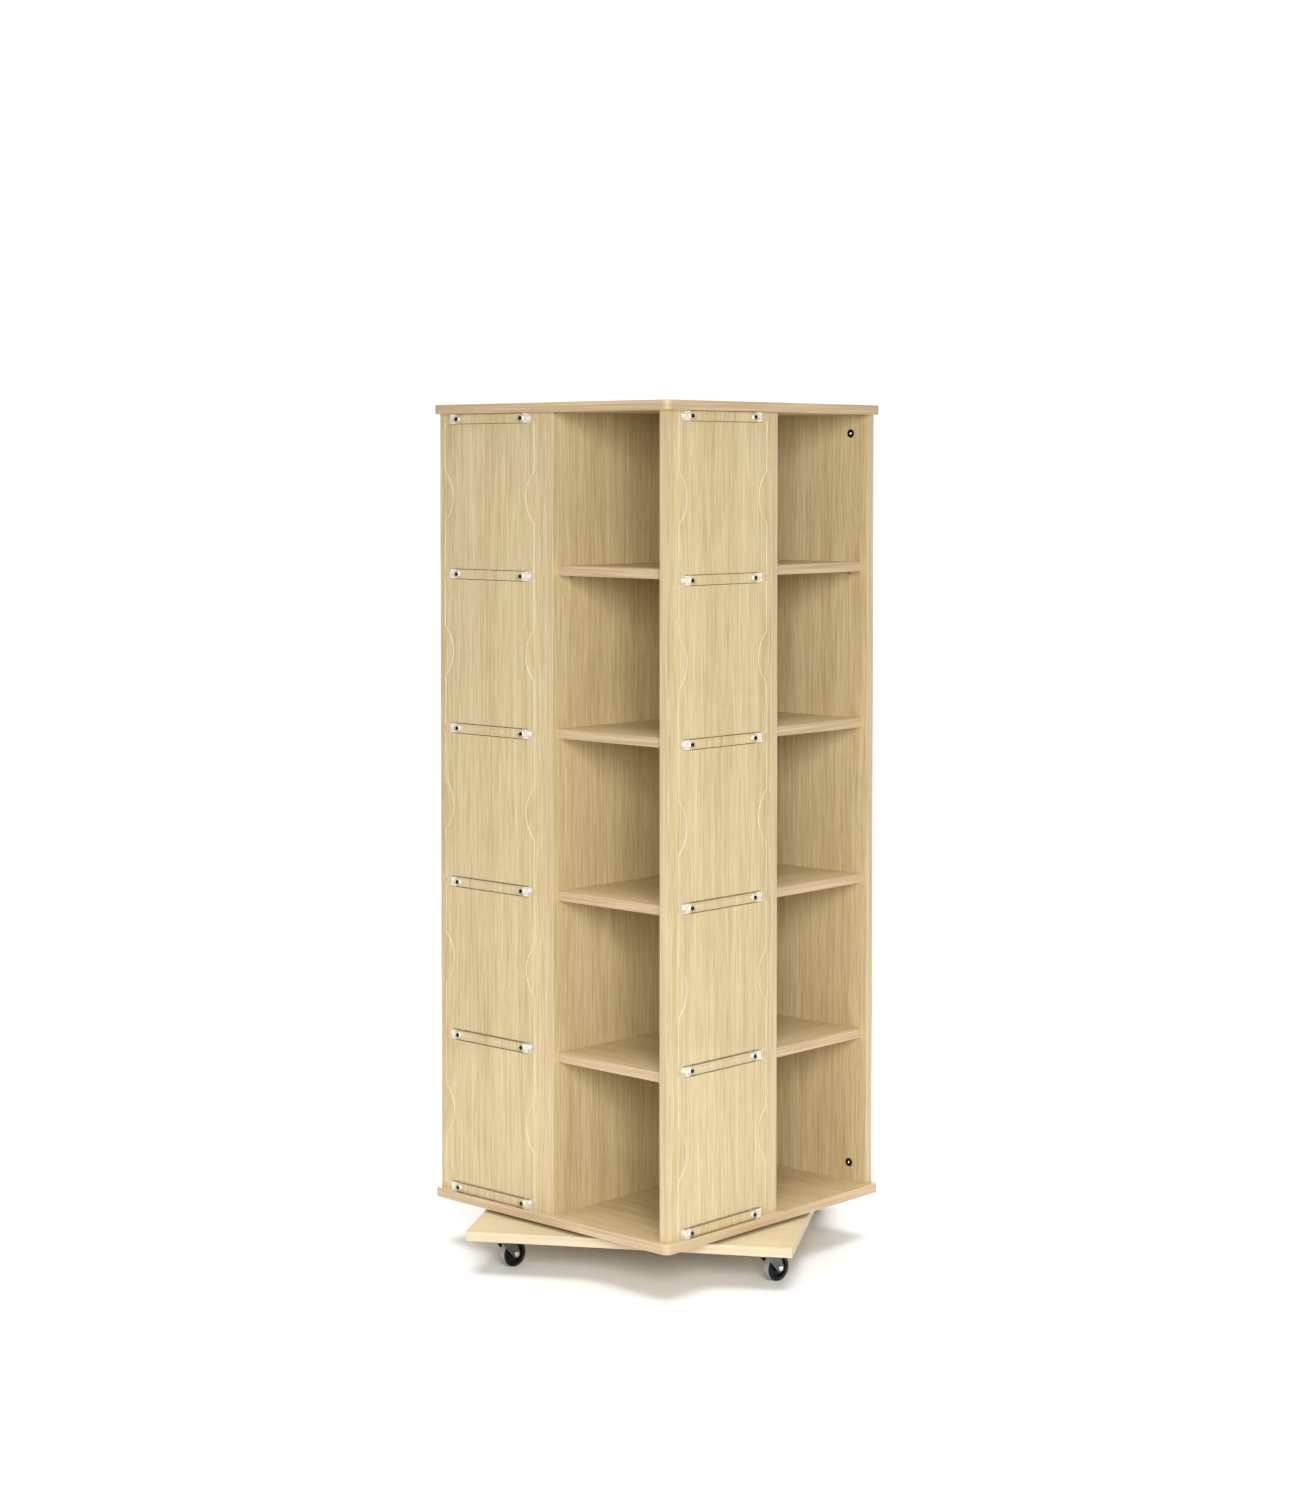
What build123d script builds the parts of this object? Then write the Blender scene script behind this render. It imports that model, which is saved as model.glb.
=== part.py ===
from build123d import *
import math
import os

# A revolving four-sided display tower for folded garments, in millimetres.
# +Z is up.  The origin is on the floor under the tower's axis, and the tower's
# faces are square to X and Y.  The front face looks along -Y; the right, back and
# left faces are the front face turned by a quarter, a half and three quarters.
# Each face has a closed panel on its left half and an open bay on its right half.

# ---- driving dimensions: boards ----
BOARD_SIDE = 610.0           # top, bottom and base boards
BOARD_THICK = 18.0           # every board and panel
LEVEL_HEIGHT = 284.0         # clear height of one compartment
LEVELS = 5                   # compartments in a bay
WALL_INSET = 10.0            # walls stand in from the edge of the top board
SHELF_RECESS = 15.0          # shelf front edge behind the face of the walls
SHELF_GAP = 0.5              # shelf to wall, on each side
CORNER_RADIUS = 13.0         # vertical corners of the top and bottom boards
BASE_CORNER_RADIUS = 3.0     # vertical corners of the base board
EDGE_RADIUS = 1.0            # softened long edges of every board

# ---- driving dimensions: heights under the tower ----
CASTER_HEIGHT = 63.0
TURNTABLE_HEIGHT = 7.0
BASE_ANGLE = 32.2            # the base board's turn about Z at rest

# ---- driving dimensions: clear display plates ----
PLATE_WIDTH = 240.0
PLATE_THICK = 2.0
PLATE_STANDOFF = 6.6         # panel face to plate
PLATE_ENTRY = 3.5            # of each long edge, in the groove of its bar
NOTCH_CHORD = 95.0
NOTCH_DEPTH = 22.0
NOTCH_BLEND = 8.0
PLATE_CORNER = 3.0
BAR_LENGTH = 209.0
BAR_HEIGHT = 20.0
BAR_DEPTH = 9.8
BAR_SEAT = 0.2               # panel face to bar, filled by the bush ends
BAR_EDGE = 0.4               # softened long edges
GROOVE_WIDTH = 2.4
GROOVE_DEPTH = 4.0
BUSH_RADIUS = 3.7            # sleeve round each bar screw
BAR_SCREW_INSET = 18.0
SCREW_RADIUS = 2.0
SCREW_HEAD_RADIUS = 4.0
SCREW_HEAD_HEIGHT = 2.2
SCREW_HEAD_ROUND = 1.5
SCREW_RECESS_SPAN = 4.2
SCREW_RECESS_WIDTH = 1.0
SCREW_RECESS_DEPTH = 1.2
SCREW_DEPTH = 8.5
PILOT_GAP = 0.05             # radial room round a screw or pin in its hole
BORE_SPARE = 0.5             # a blind bore is deeper than its screw by this

# ---- driving dimensions: cabinet fittings ----
PIN_RADIUS = 2.5
PIN_DEPTH = 8.0              # bore in the wall, and the pin's length under the shelf
PIN_END_GAP = 0.2            # pin to the bottom of its bore
PIN_SETBACK = 25.0           # pin to the shelf's front or back edge
CAM_RADIUS = 7.5
CAM_DEPTH = 12.5
CAM_FROM_END = 36.0          # cam centre to the end of its panel
CAM_FROM_EDGE = 42.0         # cam centre to the panel's front or back edge
CAM_RECESS_SPAN = 4.6
CAM_RECESS_WIDTH = 1.2
CAM_RECESS_DEPTH = 1.5
COLLAR_RADIUS = 8.0          # ring that covers the rim of a cam's bore
COLLAR_WIDTH = 5.0
COLLAR_PROUD = 0.8
BOLT_SHANK_RADIUS = 3.5
BOLT_THREAD_RADIUS = 2.5
BOLT_THREAD_LENGTH = 11.0
DOWEL_RADIUS = 4.0
DOWEL_IN_BOARD = 12.0
DOWEL_IN_PANEL = 18.0
DOWEL_OFFSETS = (60.0, 230.0)

# ---- driving dimensions: turntable ----
RACE_PLATE_SIDE = 300.0
RACE_PLATE_THICK = 1.5
RACE_PLATE_CORNER = 25.0
RACE_HOLE_RADIUS = 95.0
RACE_LIP_THICK = 2.5
RACE_LIP_HEIGHT = 2.5
HUB_CLEARANCE = 0.05
HUB_THICK = 3.0
HUB_FOOT_GAP = 0.5
RACE_SCREW_OFFSET = 130.0
RACE_SCREW_HEAD_HEIGHT = 1.6
RACE_SCREW_HEAD_RADIUS = 4.5
RACE_SCREW_DEPTH = 13.0
BALL_CIRCLE_RADIUS = 115.0
BALL_COUNT = 24
BALL_GAP = 0.3
CAGE_WIDTH = 14.0
CAGE_THICK = 1.2

# ---- driving dimensions: casters ----
CASTER_INSET = 56.0          # kingpin to the base board's edges
TRAIL = 24.0                 # kingpin to wheel centre, seen from above
TRAIL_ANGLE = 82.0           # direction of every trail about Z at rest
WHEEL_RADIUS = 25.0
TREAD_WIDTH = 18.0
RIM_WIDTH = 17.0
TREAD_THICK = 4.0
TREAD_ROUND = 3.0
RIM_THICK = 4.0
WEB_WIDTH = 8.0
WHEEL_HUB_RADIUS = 8.0
WHEEL_HUB_WIDTH = 22.0
AXLE_RADIUS = 3.0
AXLE_HEAD_RADIUS = 5.0
AXLE_HEAD_HEIGHT = 2.2
AXLE_HEAD_ROUND = 1.4
RUNNING_GAP = 0.05
FORK_GAP = 23.0              # between the fork's legs
FORK_THICK = 2.0
FORK_END_RADIUS = 8.0
CROWN_TOP = 54.0
CROWN_RADIUS = 20.0
CROWN_FRONT = 21.0
CROWN_BACK = 13.0
KINGPIN_RADIUS = 4.0
KINGPIN_HEAD_RADIUS = 7.0
KINGPIN_HEAD_HEIGHT = 3.0
KINGPIN_ROUND = 1.2
CASTER_PLATE_SIDE = 58.0
CASTER_PLATE_THICK = 2.5
CASTER_PLATE_CORNER = 6.0
CASTER_SCREW_OFFSET = 22.0
CASTER_SCREW_RADIUS = 3.0
CASTER_SCREW_DEPTH = 14.0
CASTER_SCREW_HEAD_RADIUS = 5.5
CASTER_SCREW_HEAD_HEIGHT = 2.6
CASTER_SCREW_ROUND = 1.3
CASTER_RECESS_SPAN = 5.5
CASTER_RECESS_WIDTH = 1.3
CASTER_RECESS_DEPTH = 1.5
DOME_RADIUS = 20.5
DOME_SKIRT = 2.0
DOME_DEPTH = 4.3
LOWER_RACE_INNER = 12.0
LOWER_RACE_OUTER = 18.0
LOWER_RACE_HEIGHT = 1.5
SWIVEL_BALL_RADIUS = 1.6
SWIVEL_BALL_CIRCLE = 15.0
SWIVEL_BALL_COUNT = 14

# ---- worked-out dimensions ----
WALL = BOARD_SIDE / 2 - WALL_INSET            # outer face of the walls
HALF_THICK = BOARD_THICK / 2
SHELF_PITCH = LEVEL_HEIGHT + BOARD_THICK
BASE_Z = CASTER_HEIGHT
RACE_Z = BASE_Z + BOARD_THICK
CABINET_Z = RACE_Z + TURNTABLE_HEIGHT
PANEL_LOW = CABINET_Z + BOARD_THICK
PANEL_HIGH = PANEL_LOW + LEVELS * LEVEL_HEIGHT + (LEVELS - 1) * BOARD_THICK
TOP_Z = PANEL_HIGH + BOARD_THICK
SHELF_UNDERSIDES = [CABINET_Z + SHELF_PITCH * level for level in range(1, LEVELS)]
PANEL_CENTRE = -(WALL + HALF_THICK) / 2       # middle of a closed panel's width
BAR_FRONT = BAR_SEAT + BAR_DEPTH              # panel face to the bar's front
BAR_LOW = PANEL_LOW + BAR_HEIGHT / 2
BAR_PITCH = (PANEL_HIGH - PANEL_LOW - BAR_HEIGHT) / LEVELS
BAR_HEIGHTS = [BAR_LOW + BAR_PITCH * row for row in range(LEVELS + 1)]
BAR_SCREW_X = [PANEL_CENTRE + side * (BAR_LENGTH / 2 - BAR_SCREW_INSET) for side in (-1, 1)]
FACES = ("front", "right", "back", "left")
FLOOR_UP = (Align.CENTER, Align.CENTER, Align.MIN)


# ---- helpers ----
def block(low, high):
    """A box between two opposite corners."""
    size = [b - a for a, b in zip(low, high)]
    return Pos(*low) * Box(*size, align=(Align.MIN, Align.MIN, Align.MIN))


def rod(start, direction, radius, length):
    """A cylinder that starts at a point and runs along a direction."""
    return extrude(Plane(start, z_dir=direction) * Circle(radius), amount=length)


def tube(radius, bore, low, high):
    """An upright ring on the Z axis."""
    return Pos(0, 0, low) * extrude(Circle(radius) - Circle(bore), amount=high - low)


def quarter_turns(shapes, face):
    """The same shapes on another face of the tower."""
    return [Rot(0, 0, 90 * face) * shape for shape in shapes]


def on_every_face(shapes):
    return [turned for face in range(4) for turned in quarter_turns(shapes, face)]


def cut(shape, tools):
    for tool in tools:
        shape = shape - tool
    return shape


def save(name, *shapes):
    solids = [solid for shape in shapes for solid in shape.solids()]
    export_step(Compound(solids), f"parts/{name}.step")


def cross_recess(centre, direction, span, width, depth):
    """A cross-shaped driver recess, sunk from a head's outer face."""
    face = Plane(centre, x_dir=(0, 0, 1) if abs(direction[2]) < 0.5 else (1, 0, 0), z_dir=direction)
    cross = Rectangle(span, width) + Rectangle(width, span)
    return extrude(face * cross, amount=-depth)


# ---- boards and panels ----
def square_board(low, corner_radius):
    outline = RectangleRounded(BOARD_SIDE, BOARD_SIDE, corner_radius)
    board = Pos(0, 0, low) * extrude(outline, amount=BOARD_THICK)
    rims = board.edges().group_by(Axis.Z)
    return fillet(rims[0] + rims[-1], EDGE_RADIUS)


def upright(low_x, high_x, low_y, high_y):
    panel = block((low_x, low_y, PANEL_LOW), (high_x, high_y, PANEL_HIGH))
    return fillet(panel.edges().filter_by(Axis.Z), EDGE_RADIUS)


def shelf_pins(radius, depth):
    """Pins of the front bay: those in the divider, then those in the right side panel."""
    back_edge = -HALF_THICK - SHELF_GAP
    front_edge = -WALL + SHELF_RECESS
    inner, outer = [], []
    for underside in SHELF_UNDERSIDES:
        for y in (front_edge + PIN_SETBACK, back_edge - PIN_SETBACK):
            z = underside - PIN_RADIUS
            inner.append(rod((HALF_THICK - depth, y, z), (1, 0, 0), radius, depth + PIN_DEPTH))
            outer_wall = WALL - BOARD_THICK
            outer.append(rod((outer_wall + depth, y, z), (-1, 0, 0), radius, depth + PIN_DEPTH))
    return inner, outer


def front_shelves():
    shelves = []
    for underside in SHELF_UNDERSIDES:
        low = (HALF_THICK + SHELF_GAP, -WALL + SHELF_RECESS, underside)
        high = (WALL - BOARD_THICK - SHELF_GAP, -HALF_THICK - SHELF_GAP, underside + BOARD_THICK)
        shelf = block(low, high)
        front = shelf.edges().filter_by(Axis.X).group_by(Axis.Y)[0]
        shelves.append(fillet(front, EDGE_RADIUS))
    return shelves


# ---- cam fittings of the front side panel ----
def cam_places():
    places = []
    for x in (-WALL + CAM_FROM_EDGE, -HALF_THICK - CAM_FROM_EDGE):
        places.append((x, PANEL_LOW + CAM_FROM_END, -1))
        places.append((x, PANEL_HIGH - CAM_FROM_END, 1))
    return places


def bolt_tools():
    """Bores for the cam bolts: along the panel, and the thread in the board."""
    middle = -WALL + HALF_THICK
    in_panel, in_board = [], []
    for x, z, up in cam_places():
        end = z + up * CAM_FROM_END
        in_panel.append(rod((x, middle, z), (0, 0, up), BOLT_SHANK_RADIUS + PILOT_GAP, CAM_FROM_END))
        in_board.append(rod((x, middle, end), (0, 0, up), BOLT_THREAD_RADIUS, BOLT_THREAD_LENGTH))
    return in_panel, in_board


def cam_bolts():
    middle = -WALL + HALF_THICK
    bolts = []
    for x, z, up in cam_places():
        shank = rod((x, middle, z), (0, 0, up), BOLT_SHANK_RADIUS, CAM_FROM_END)
        end = z + up * CAM_FROM_END
        thread = rod((x, middle, end), (0, 0, up), BOLT_THREAD_RADIUS, BOLT_THREAD_LENGTH)
        bolts.append(shank + thread)
    return bolts


def cam_bores():
    inner_face = -WALL + BOARD_THICK
    return [rod((x, inner_face, z), (0, -1, 0), CAM_RADIUS, CAM_DEPTH) for x, z, up in cam_places()]


def cam_locks():
    """Cam discs with a bore for the bolt and a cross recess for the driver."""
    inner_face = -WALL + BOARD_THICK
    room = BOLT_SHANK_RADIUS + PILOT_GAP
    recess_sizes = (CAM_RECESS_SPAN, CAM_RECESS_WIDTH, CAM_RECESS_DEPTH)
    locks = []
    for x, z, up in cam_places():
        disc = rod((x, inner_face, z), (0, -1, 0), CAM_RADIUS, CAM_DEPTH)
        bore = rod((x, -WALL + HALF_THICK, z), (0, 0, up), room, CAM_RADIUS + BORE_SPARE)
        recess = cross_recess((x, inner_face, z), (0, 1, 0), *recess_sizes)
        locks.append(cut(disc, (bore, recess)))
    return locks


def cam_collars():
    inner_face = -WALL + BOARD_THICK
    collars = []
    for x, z, up in cam_places():
        disc = rod((x, inner_face, z), (0, 1, 0), COLLAR_RADIUS, COLLAR_PROUD)
        opening = rod((x, inner_face, z), (0, 1, 0), COLLAR_RADIUS - COLLAR_WIDTH, COLLAR_PROUD)
        collars.append(disc - opening)
    return collars


# ---- dowels that hold the cross of inner panels ----
def front_dowels(axis_along_y):
    """Dowels at both ends of a half divider, or of half the centre panel."""
    pins = []
    for offset in DOWEL_OFFSETS:
        x, y = (0, -offset) if axis_along_y else (offset, 0)
        low = PANEL_LOW - DOWEL_IN_BOARD
        length = DOWEL_IN_BOARD + DOWEL_IN_PANEL
        pins.append(rod((x, y, low), (0, 0, 1), DOWEL_RADIUS, length))
        pins.append(rod((x, y, PANEL_HIGH - DOWEL_IN_PANEL), (0, 0, 1), DOWEL_RADIUS, length))
    return pins


# ---- clear plates and their grooved bars on the front side panel ----
def plate_outline():
    height = BAR_PITCH - BAR_HEIGHT + 2 * PLATE_ENTRY
    notch_radius = (NOTCH_CHORD ** 2 / 4 + NOTCH_DEPTH ** 2) / (2 * NOTCH_DEPTH)
    centre = PLATE_WIDTH / 2 - NOTCH_DEPTH + notch_radius
    outline = Rectangle(PLATE_WIDTH, height)
    for side in (-1, 1):
        outline = outline - Pos(side * centre, 0) * Circle(notch_radius)
    corners = outline.vertices().filter_by(lambda v: abs(v.Y) > NOTCH_CHORD)
    outline = fillet(corners, PLATE_CORNER)
    lips = outline.vertices().filter_by(lambda v: abs(abs(v.Y) - NOTCH_CHORD / 2) < 1)
    return fillet(lips, NOTCH_BLEND)


def front_plates():
    """Notched plates, whose top and bottom edges slide in the grooves of two bars."""
    outline = plate_outline()
    plates = []
    for height in BAR_HEIGHTS[:-1]:
        middle = (PANEL_CENTRE, -WALL - PLATE_STANDOFF, height + BAR_PITCH / 2)
        plane = Plane(middle, x_dir=(1, 0, 0), z_dir=(0, -1, 0))
        plates.append(extrude(plane * outline, amount=PLATE_THICK))
    return plates


def bar_section():
    """A bar's cross-section: X is outwards from its middle, and both long edges are grooved."""
    groove_from_panel = PLATE_STANDOFF + PLATE_THICK / 2 - BAR_SEAT
    section = fillet(Rectangle(BAR_DEPTH, BAR_HEIGHT).vertices(), BAR_EDGE)
    for side in (-1, 1):
        middle = Pos(groove_from_panel - BAR_DEPTH / 2, side * (BAR_HEIGHT - GROOVE_DEPTH) / 2)
        section = section - middle * Rectangle(GROOVE_WIDTH, GROOVE_DEPTH)
    return section


def front_bars():
    section = bar_section()
    bars = []
    for z in BAR_HEIGHTS:
        middle = (PANEL_CENTRE, -WALL - BAR_SEAT - BAR_DEPTH / 2, z)
        plane = Plane(middle, x_dir=(0, -1, 0), z_dir=(1, 0, 0))
        bar = extrude(plane * section, amount=BAR_LENGTH / 2, both=True)
        bores = [rod((x, -WALL, z), (0, -1, 0), BUSH_RADIUS + PILOT_GAP, BAR_FRONT) for x in BAR_SCREW_X]
        bars.append(cut(bar, bores))
    return bars


def bar_bush(x, z):
    """A sleeve that runs through the bar to the panel, so that the screw can't crack the bar."""
    sleeve = rod((x, -WALL, z), (0, -1, 0), BUSH_RADIUS, BAR_FRONT)
    return sleeve - rod((x, -WALL, z), (0, -1, 0), SCREW_RADIUS + PILOT_GAP, BAR_FRONT)


def bar_screw(x, z):
    shank = rod((x, -WALL + SCREW_DEPTH, z), (0, -1, 0), SCREW_RADIUS, SCREW_DEPTH + BAR_FRONT)
    head = rod((x, -WALL - BAR_FRONT, z), (0, -1, 0), SCREW_HEAD_RADIUS, SCREW_HEAD_HEIGHT)
    head = fillet(head.edges().group_by(Axis.Y)[0], SCREW_HEAD_ROUND)
    outer = (x, -WALL - BAR_FRONT - SCREW_HEAD_HEIGHT, z)
    recess_sizes = (SCREW_RECESS_SPAN, SCREW_RECESS_WIDTH, SCREW_RECESS_DEPTH)
    return shank + head - cross_recess(outer, (0, -1, 0), *recess_sizes)


def bar_screw_bores():
    depth = SCREW_DEPTH + BORE_SPARE
    radius = SCREW_RADIUS + PILOT_GAP
    return [rod((x, -WALL, z), (0, 1, 0), radius, depth) for x in BAR_SCREW_X for z in BAR_HEIGHTS]


# ---- turntable ----
def race_plate(low):
    outline = RectangleRounded(RACE_PLATE_SIDE, RACE_PLATE_SIDE, RACE_PLATE_CORNER)
    outline = outline - Circle(RACE_HOLE_RADIUS)
    for x, y in corners_of(RACE_SCREW_OFFSET):
        outline = outline - Pos(x, y) * Circle(SCREW_RADIUS + PILOT_GAP)
    return Pos(0, 0, low) * extrude(outline, amount=RACE_PLATE_THICK)


def corners_of(offset):
    return [(x * offset, y * offset) for x, y in ((1, 1), (-1, 1), (-1, -1), (1, -1))]


def turntable_lower_plate():
    lip_top = RACE_Z + RACE_PLATE_THICK + RACE_LIP_HEIGHT
    lip = tube(RACE_HOLE_RADIUS + RACE_LIP_THICK, RACE_HOLE_RADIUS, RACE_Z, lip_top)
    return Rot(0, 0, BASE_ANGLE) * (race_plate(RACE_Z) + lip)


def turntable_upper_plate():
    low = CABINET_Z - RACE_PLATE_THICK
    hub_radius = RACE_HOLE_RADIUS - HUB_CLEARANCE
    hub = tube(hub_radius, hub_radius - HUB_THICK, RACE_Z + HUB_FOOT_GAP, CABINET_Z)
    ring = tube(RACE_HOLE_RADIUS + RACE_LIP_THICK, hub_radius - HUB_THICK, low, CABINET_Z)
    return race_plate(low) + ring + hub


def turntable_balls():
    floor = RACE_Z + RACE_PLATE_THICK
    radius = (CABINET_Z - RACE_PLATE_THICK - floor - BALL_GAP) / 2
    places = PolarLocations(BALL_CIRCLE_RADIUS, BALL_COUNT)
    balls = [Pos(0, 0, floor + radius) * place * Sphere(radius) for place in places]
    low = floor + radius - CAGE_THICK / 2
    half_width = CAGE_WIDTH / 2
    cage = tube(BALL_CIRCLE_RADIUS + half_width, BALL_CIRCLE_RADIUS - half_width, low, low + CAGE_THICK)
    pocket = Cylinder(radius + PILOT_GAP, CAGE_THICK, align=FLOOR_UP)
    cage = cut(cage, [Pos(0, 0, low) * place * pocket for place in places])
    return balls, cage


def race_screws(head_face, up):
    """Pan-head screws through a race plate; the head is on the side away from the board."""
    screws = []
    for x, y in corners_of(RACE_SCREW_OFFSET):
        head = rod((x, y, head_face), (0, 0, -up), RACE_SCREW_HEAD_RADIUS, RACE_SCREW_HEAD_HEIGHT)
        shank = rod((x, y, head_face), (0, 0, up), SCREW_RADIUS, RACE_SCREW_DEPTH)
        screws.append(head + shank)
    return screws


# ---- casters, each drawn with its kingpin on the Z axis and its trail along +X ----
def caster_plate():
    low = CASTER_HEIGHT - CASTER_PLATE_THICK
    outline = RectangleRounded(CASTER_PLATE_SIDE, CASTER_PLATE_SIDE, CASTER_PLATE_CORNER)
    for x, y in corners_of(CASTER_SCREW_OFFSET):
        outline = outline - Pos(x, y) * Circle(CASTER_SCREW_RADIUS + PILOT_GAP)
    plate = Pos(0, 0, low) * extrude(outline, amount=CASTER_PLATE_THICK)
    ball_top = CROWN_TOP + LOWER_RACE_HEIGHT + BALL_GAP + 2 * SWIVEL_BALL_RADIUS
    dome = tube(DOME_RADIUS, KINGPIN_RADIUS, ball_top, low)
    skirt = tube(DOME_RADIUS, DOME_RADIUS - DOME_SKIRT, low - DOME_DEPTH, ball_top)
    return plate + dome + skirt - Cylinder(KINGPIN_RADIUS, CASTER_HEIGHT, align=FLOOR_UP)


def caster_kingpin():
    crown_under = CROWN_TOP - FORK_THICK
    head_top = crown_under - BALL_GAP
    head = Pos(0, 0, head_top - KINGPIN_HEAD_HEIGHT)
    head = head * Cylinder(KINGPIN_HEAD_RADIUS, KINGPIN_HEAD_HEIGHT, align=FLOOR_UP)
    head = fillet(head.edges().group_by(Axis.Z)[0], KINGPIN_ROUND)
    shank = Cylinder(KINGPIN_RADIUS, CASTER_HEIGHT - head_top, align=FLOOR_UP)
    return head + Pos(0, 0, head_top) * shank


def swivel_balls():
    height = CROWN_TOP + LOWER_RACE_HEIGHT + BALL_GAP + SWIVEL_BALL_RADIUS
    places = PolarLocations(SWIVEL_BALL_CIRCLE, SWIVEL_BALL_COUNT)
    return [Pos(0, 0, height) * place * Sphere(SWIVEL_BALL_RADIUS) for place in places]


def fork_leg_outline():
    """A leg seen from the side: tangent from the crown down to a round end at the axle."""
    end = Pos(TRAIL, WHEEL_RADIUS) * Circle(FORK_END_RADIUS)
    top = Line((-CROWN_BACK, CROWN_TOP), (CROWN_FRONT, CROWN_TOP))
    return make_hull(end.edges() + top.edges())


def caster_fork():
    width = FORK_GAP + 2 * FORK_THICK
    plan = Circle(CROWN_RADIUS)
    plan = plan + Pos((CROWN_FRONT - CROWN_BACK) / 2, 0) * Rectangle(CROWN_FRONT + CROWN_BACK, width)
    fork = Pos(0, 0, CROWN_TOP - FORK_THICK) * extrude(plan, amount=FORK_THICK)
    for side in (-1, 1):
        middle = side * (FORK_GAP + FORK_THICK) / 2
        leg = extrude(Plane.XZ.offset(middle) * fork_leg_outline(), amount=FORK_THICK / 2, both=True)
        fork = fork + leg
    race = tube(LOWER_RACE_OUTER, LOWER_RACE_INNER, CROWN_TOP, CROWN_TOP + LOWER_RACE_HEIGHT)
    axle_bore = rod((TRAIL, -width, WHEEL_RADIUS), (0, 1, 0), AXLE_RADIUS, 2 * width)
    pin_bore = Cylinder(KINGPIN_RADIUS + RUNNING_GAP, CASTER_HEIGHT, align=FLOOR_UP)
    return cut(fork + race, (axle_bore, pin_bore))


def caster_axle():
    reach = FORK_GAP / 2 + FORK_THICK
    axle = rod((TRAIL, -reach, WHEEL_RADIUS), (0, 1, 0), AXLE_RADIUS, 2 * reach)
    for side in (-1, 1):
        head = rod((TRAIL, side * reach, WHEEL_RADIUS), (0, side, 0), AXLE_HEAD_RADIUS, AXLE_HEAD_HEIGHT)
        rim = head.edges().group_by(Axis.Y)[0 if side < 0 else -1]
        axle = axle + fillet(rim, AXLE_HEAD_ROUND)
    return axle


def wheel_ring(radius, bore, width):
    ring = rod((TRAIL, -width / 2, WHEEL_RADIUS), (0, 1, 0), radius, width)
    return ring - rod((TRAIL, -width / 2, WHEEL_RADIUS), (0, 1, 0), bore, width)


def wheel_core():
    bore = AXLE_RADIUS + RUNNING_GAP
    rim_radius = WHEEL_RADIUS - TREAD_THICK
    hub = wheel_ring(WHEEL_HUB_RADIUS, bore, WHEEL_HUB_WIDTH)
    web = wheel_ring(rim_radius, bore, WEB_WIDTH)
    rim = wheel_ring(rim_radius, rim_radius - RIM_THICK, RIM_WIDTH)
    return hub + web + rim


def wheel_tread():
    tread = wheel_ring(WHEEL_RADIUS, WHEEL_RADIUS - TREAD_THICK, TREAD_WIDTH)
    outer = tread.edges().filter_by(GeomType.CIRCLE).sort_by(SortBy.RADIUS)[-2:]
    return fillet(outer, TREAD_ROUND)


def caster_screws():
    face = CASTER_HEIGHT - CASTER_PLATE_THICK
    low = face - CASTER_SCREW_HEAD_HEIGHT
    length = CASTER_SCREW_DEPTH + CASTER_PLATE_THICK
    recess_sizes = (CASTER_RECESS_SPAN, CASTER_RECESS_WIDTH, CASTER_RECESS_DEPTH)
    screws = []
    for x, y in corners_of(CASTER_SCREW_OFFSET):
        head = rod((x, y, low), (0, 0, 1), CASTER_SCREW_HEAD_RADIUS, CASTER_SCREW_HEAD_HEIGHT)
        head = fillet(head.edges().group_by(Axis.Z)[0], CASTER_SCREW_ROUND)
        shank = rod((x, y, face), (0, 0, 1), CASTER_SCREW_RADIUS, length)
        recess = cross_recess((x, y, low), (0, 0, -1), *recess_sizes)
        screws.append(head + shank - recess)
    return screws


def caster_screw_bores():
    bores = []
    for x, y in corners_of(CASTER_SCREW_OFFSET):
        radius = CASTER_SCREW_RADIUS + PILOT_GAP
        bores.append(rod((x, y, CASTER_HEIGHT), (0, 0, 1), radius, CASTER_SCREW_DEPTH + BORE_SPARE))
    return bores


def caster_spots():
    """Kingpin positions, counted round the base board from its own +X +Y corner."""
    spots = []
    for x, y in corners_of(BOARD_SIDE / 2 - CASTER_INSET):
        turned = Vector(x, y, 0).rotate(Axis.Z, BASE_ANGLE)
        spots.append(Pos(turned.X, turned.Y, 0))
    return spots


# ---- build and write every sub-part ----
os.makedirs("parts", exist_ok=True)

inner_bores, outer_bores = shelf_pins(PIN_RADIUS + PILOT_GAP, PIN_DEPTH)
inner_pins, outer_pins = shelf_pins(PIN_RADIUS, PIN_DEPTH - PIN_END_GAP)
bolt_bores, thread_bores = bolt_tools()
divider_dowels = front_dowels(True)
centre_dowels = front_dowels(False)
all_dowels = divider_dowels + quarter_turns(divider_dowels, 2)
all_dowels = all_dowels + centre_dowels + quarter_turns(centre_dowels, 2)
board_bores = on_every_face(thread_bores) + all_dowels
tower_race_screws = race_screws(CABINET_Z - RACE_PLATE_THICK, 1)
base_race_screws = [Rot(0, 0, BASE_ANGLE) * s for s in race_screws(RACE_Z + RACE_PLATE_THICK, -1)]

save("top_board", cut(square_board(PANEL_HIGH, CORNER_RADIUS), board_bores))
save("bottom_board", cut(square_board(CABINET_Z, CORNER_RADIUS), board_bores + tower_race_screws))

centre_panel = upright(-WALL, WALL, -HALF_THICK, HALF_THICK)
centre_bores = quarter_turns(inner_bores, 1) + quarter_turns(inner_bores, 3) + all_dowels
save("centre_panel", cut(centre_panel, centre_bores))

divider = upright(-HALF_THICK, HALF_THICK, -WALL, -HALF_THICK)
divider = cut(divider, inner_bores + divider_dowels)
save("divider_front", divider)
save("divider_back", Rot(0, 0, 180) * divider)

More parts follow.
